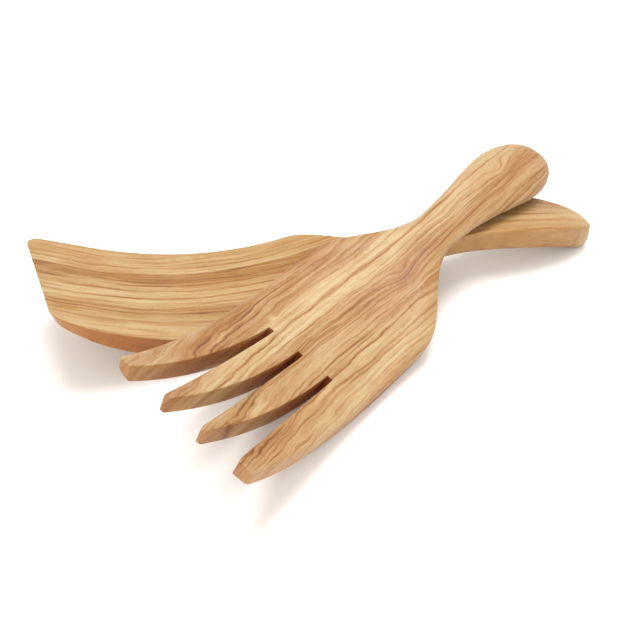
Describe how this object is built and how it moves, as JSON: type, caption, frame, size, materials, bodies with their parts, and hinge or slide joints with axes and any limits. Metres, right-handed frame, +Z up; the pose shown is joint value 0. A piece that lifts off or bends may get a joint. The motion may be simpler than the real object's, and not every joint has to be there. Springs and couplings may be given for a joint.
{
  "type": "salad servers",
  "caption": "Loose wooden salad servers: a slotted fork with tapering tines lying across a curved spatula, both with necked, rounded handles.",
  "frame": {"origin": "centre of the bounding box's bottom face, on the table that both servers lie on", "axes": "+X along the spatula from its blade to its handle end, +Z up, the fork's blade towards -Y"},
  "size_m": [0.2516, 0.174, 0.058],
  "materials": {
    "olive_wood_gold": "oiled and sanded, satin",
    "olive_wood_tan": "oiled and sanded, satin"
  },
  "bodies": {
    "spatula": {"salad_spatula": "olive_wood_gold"},
    "fork": {"salad_fork": "olive_wood_tan"}
  },
  "joints": [
    {"name": "fork_lift_off", "type": "slide", "parent": "spatula", "child": "fork", "axis": [0, 0, 1], "range_m": [0, 0.12]}
  ]
}
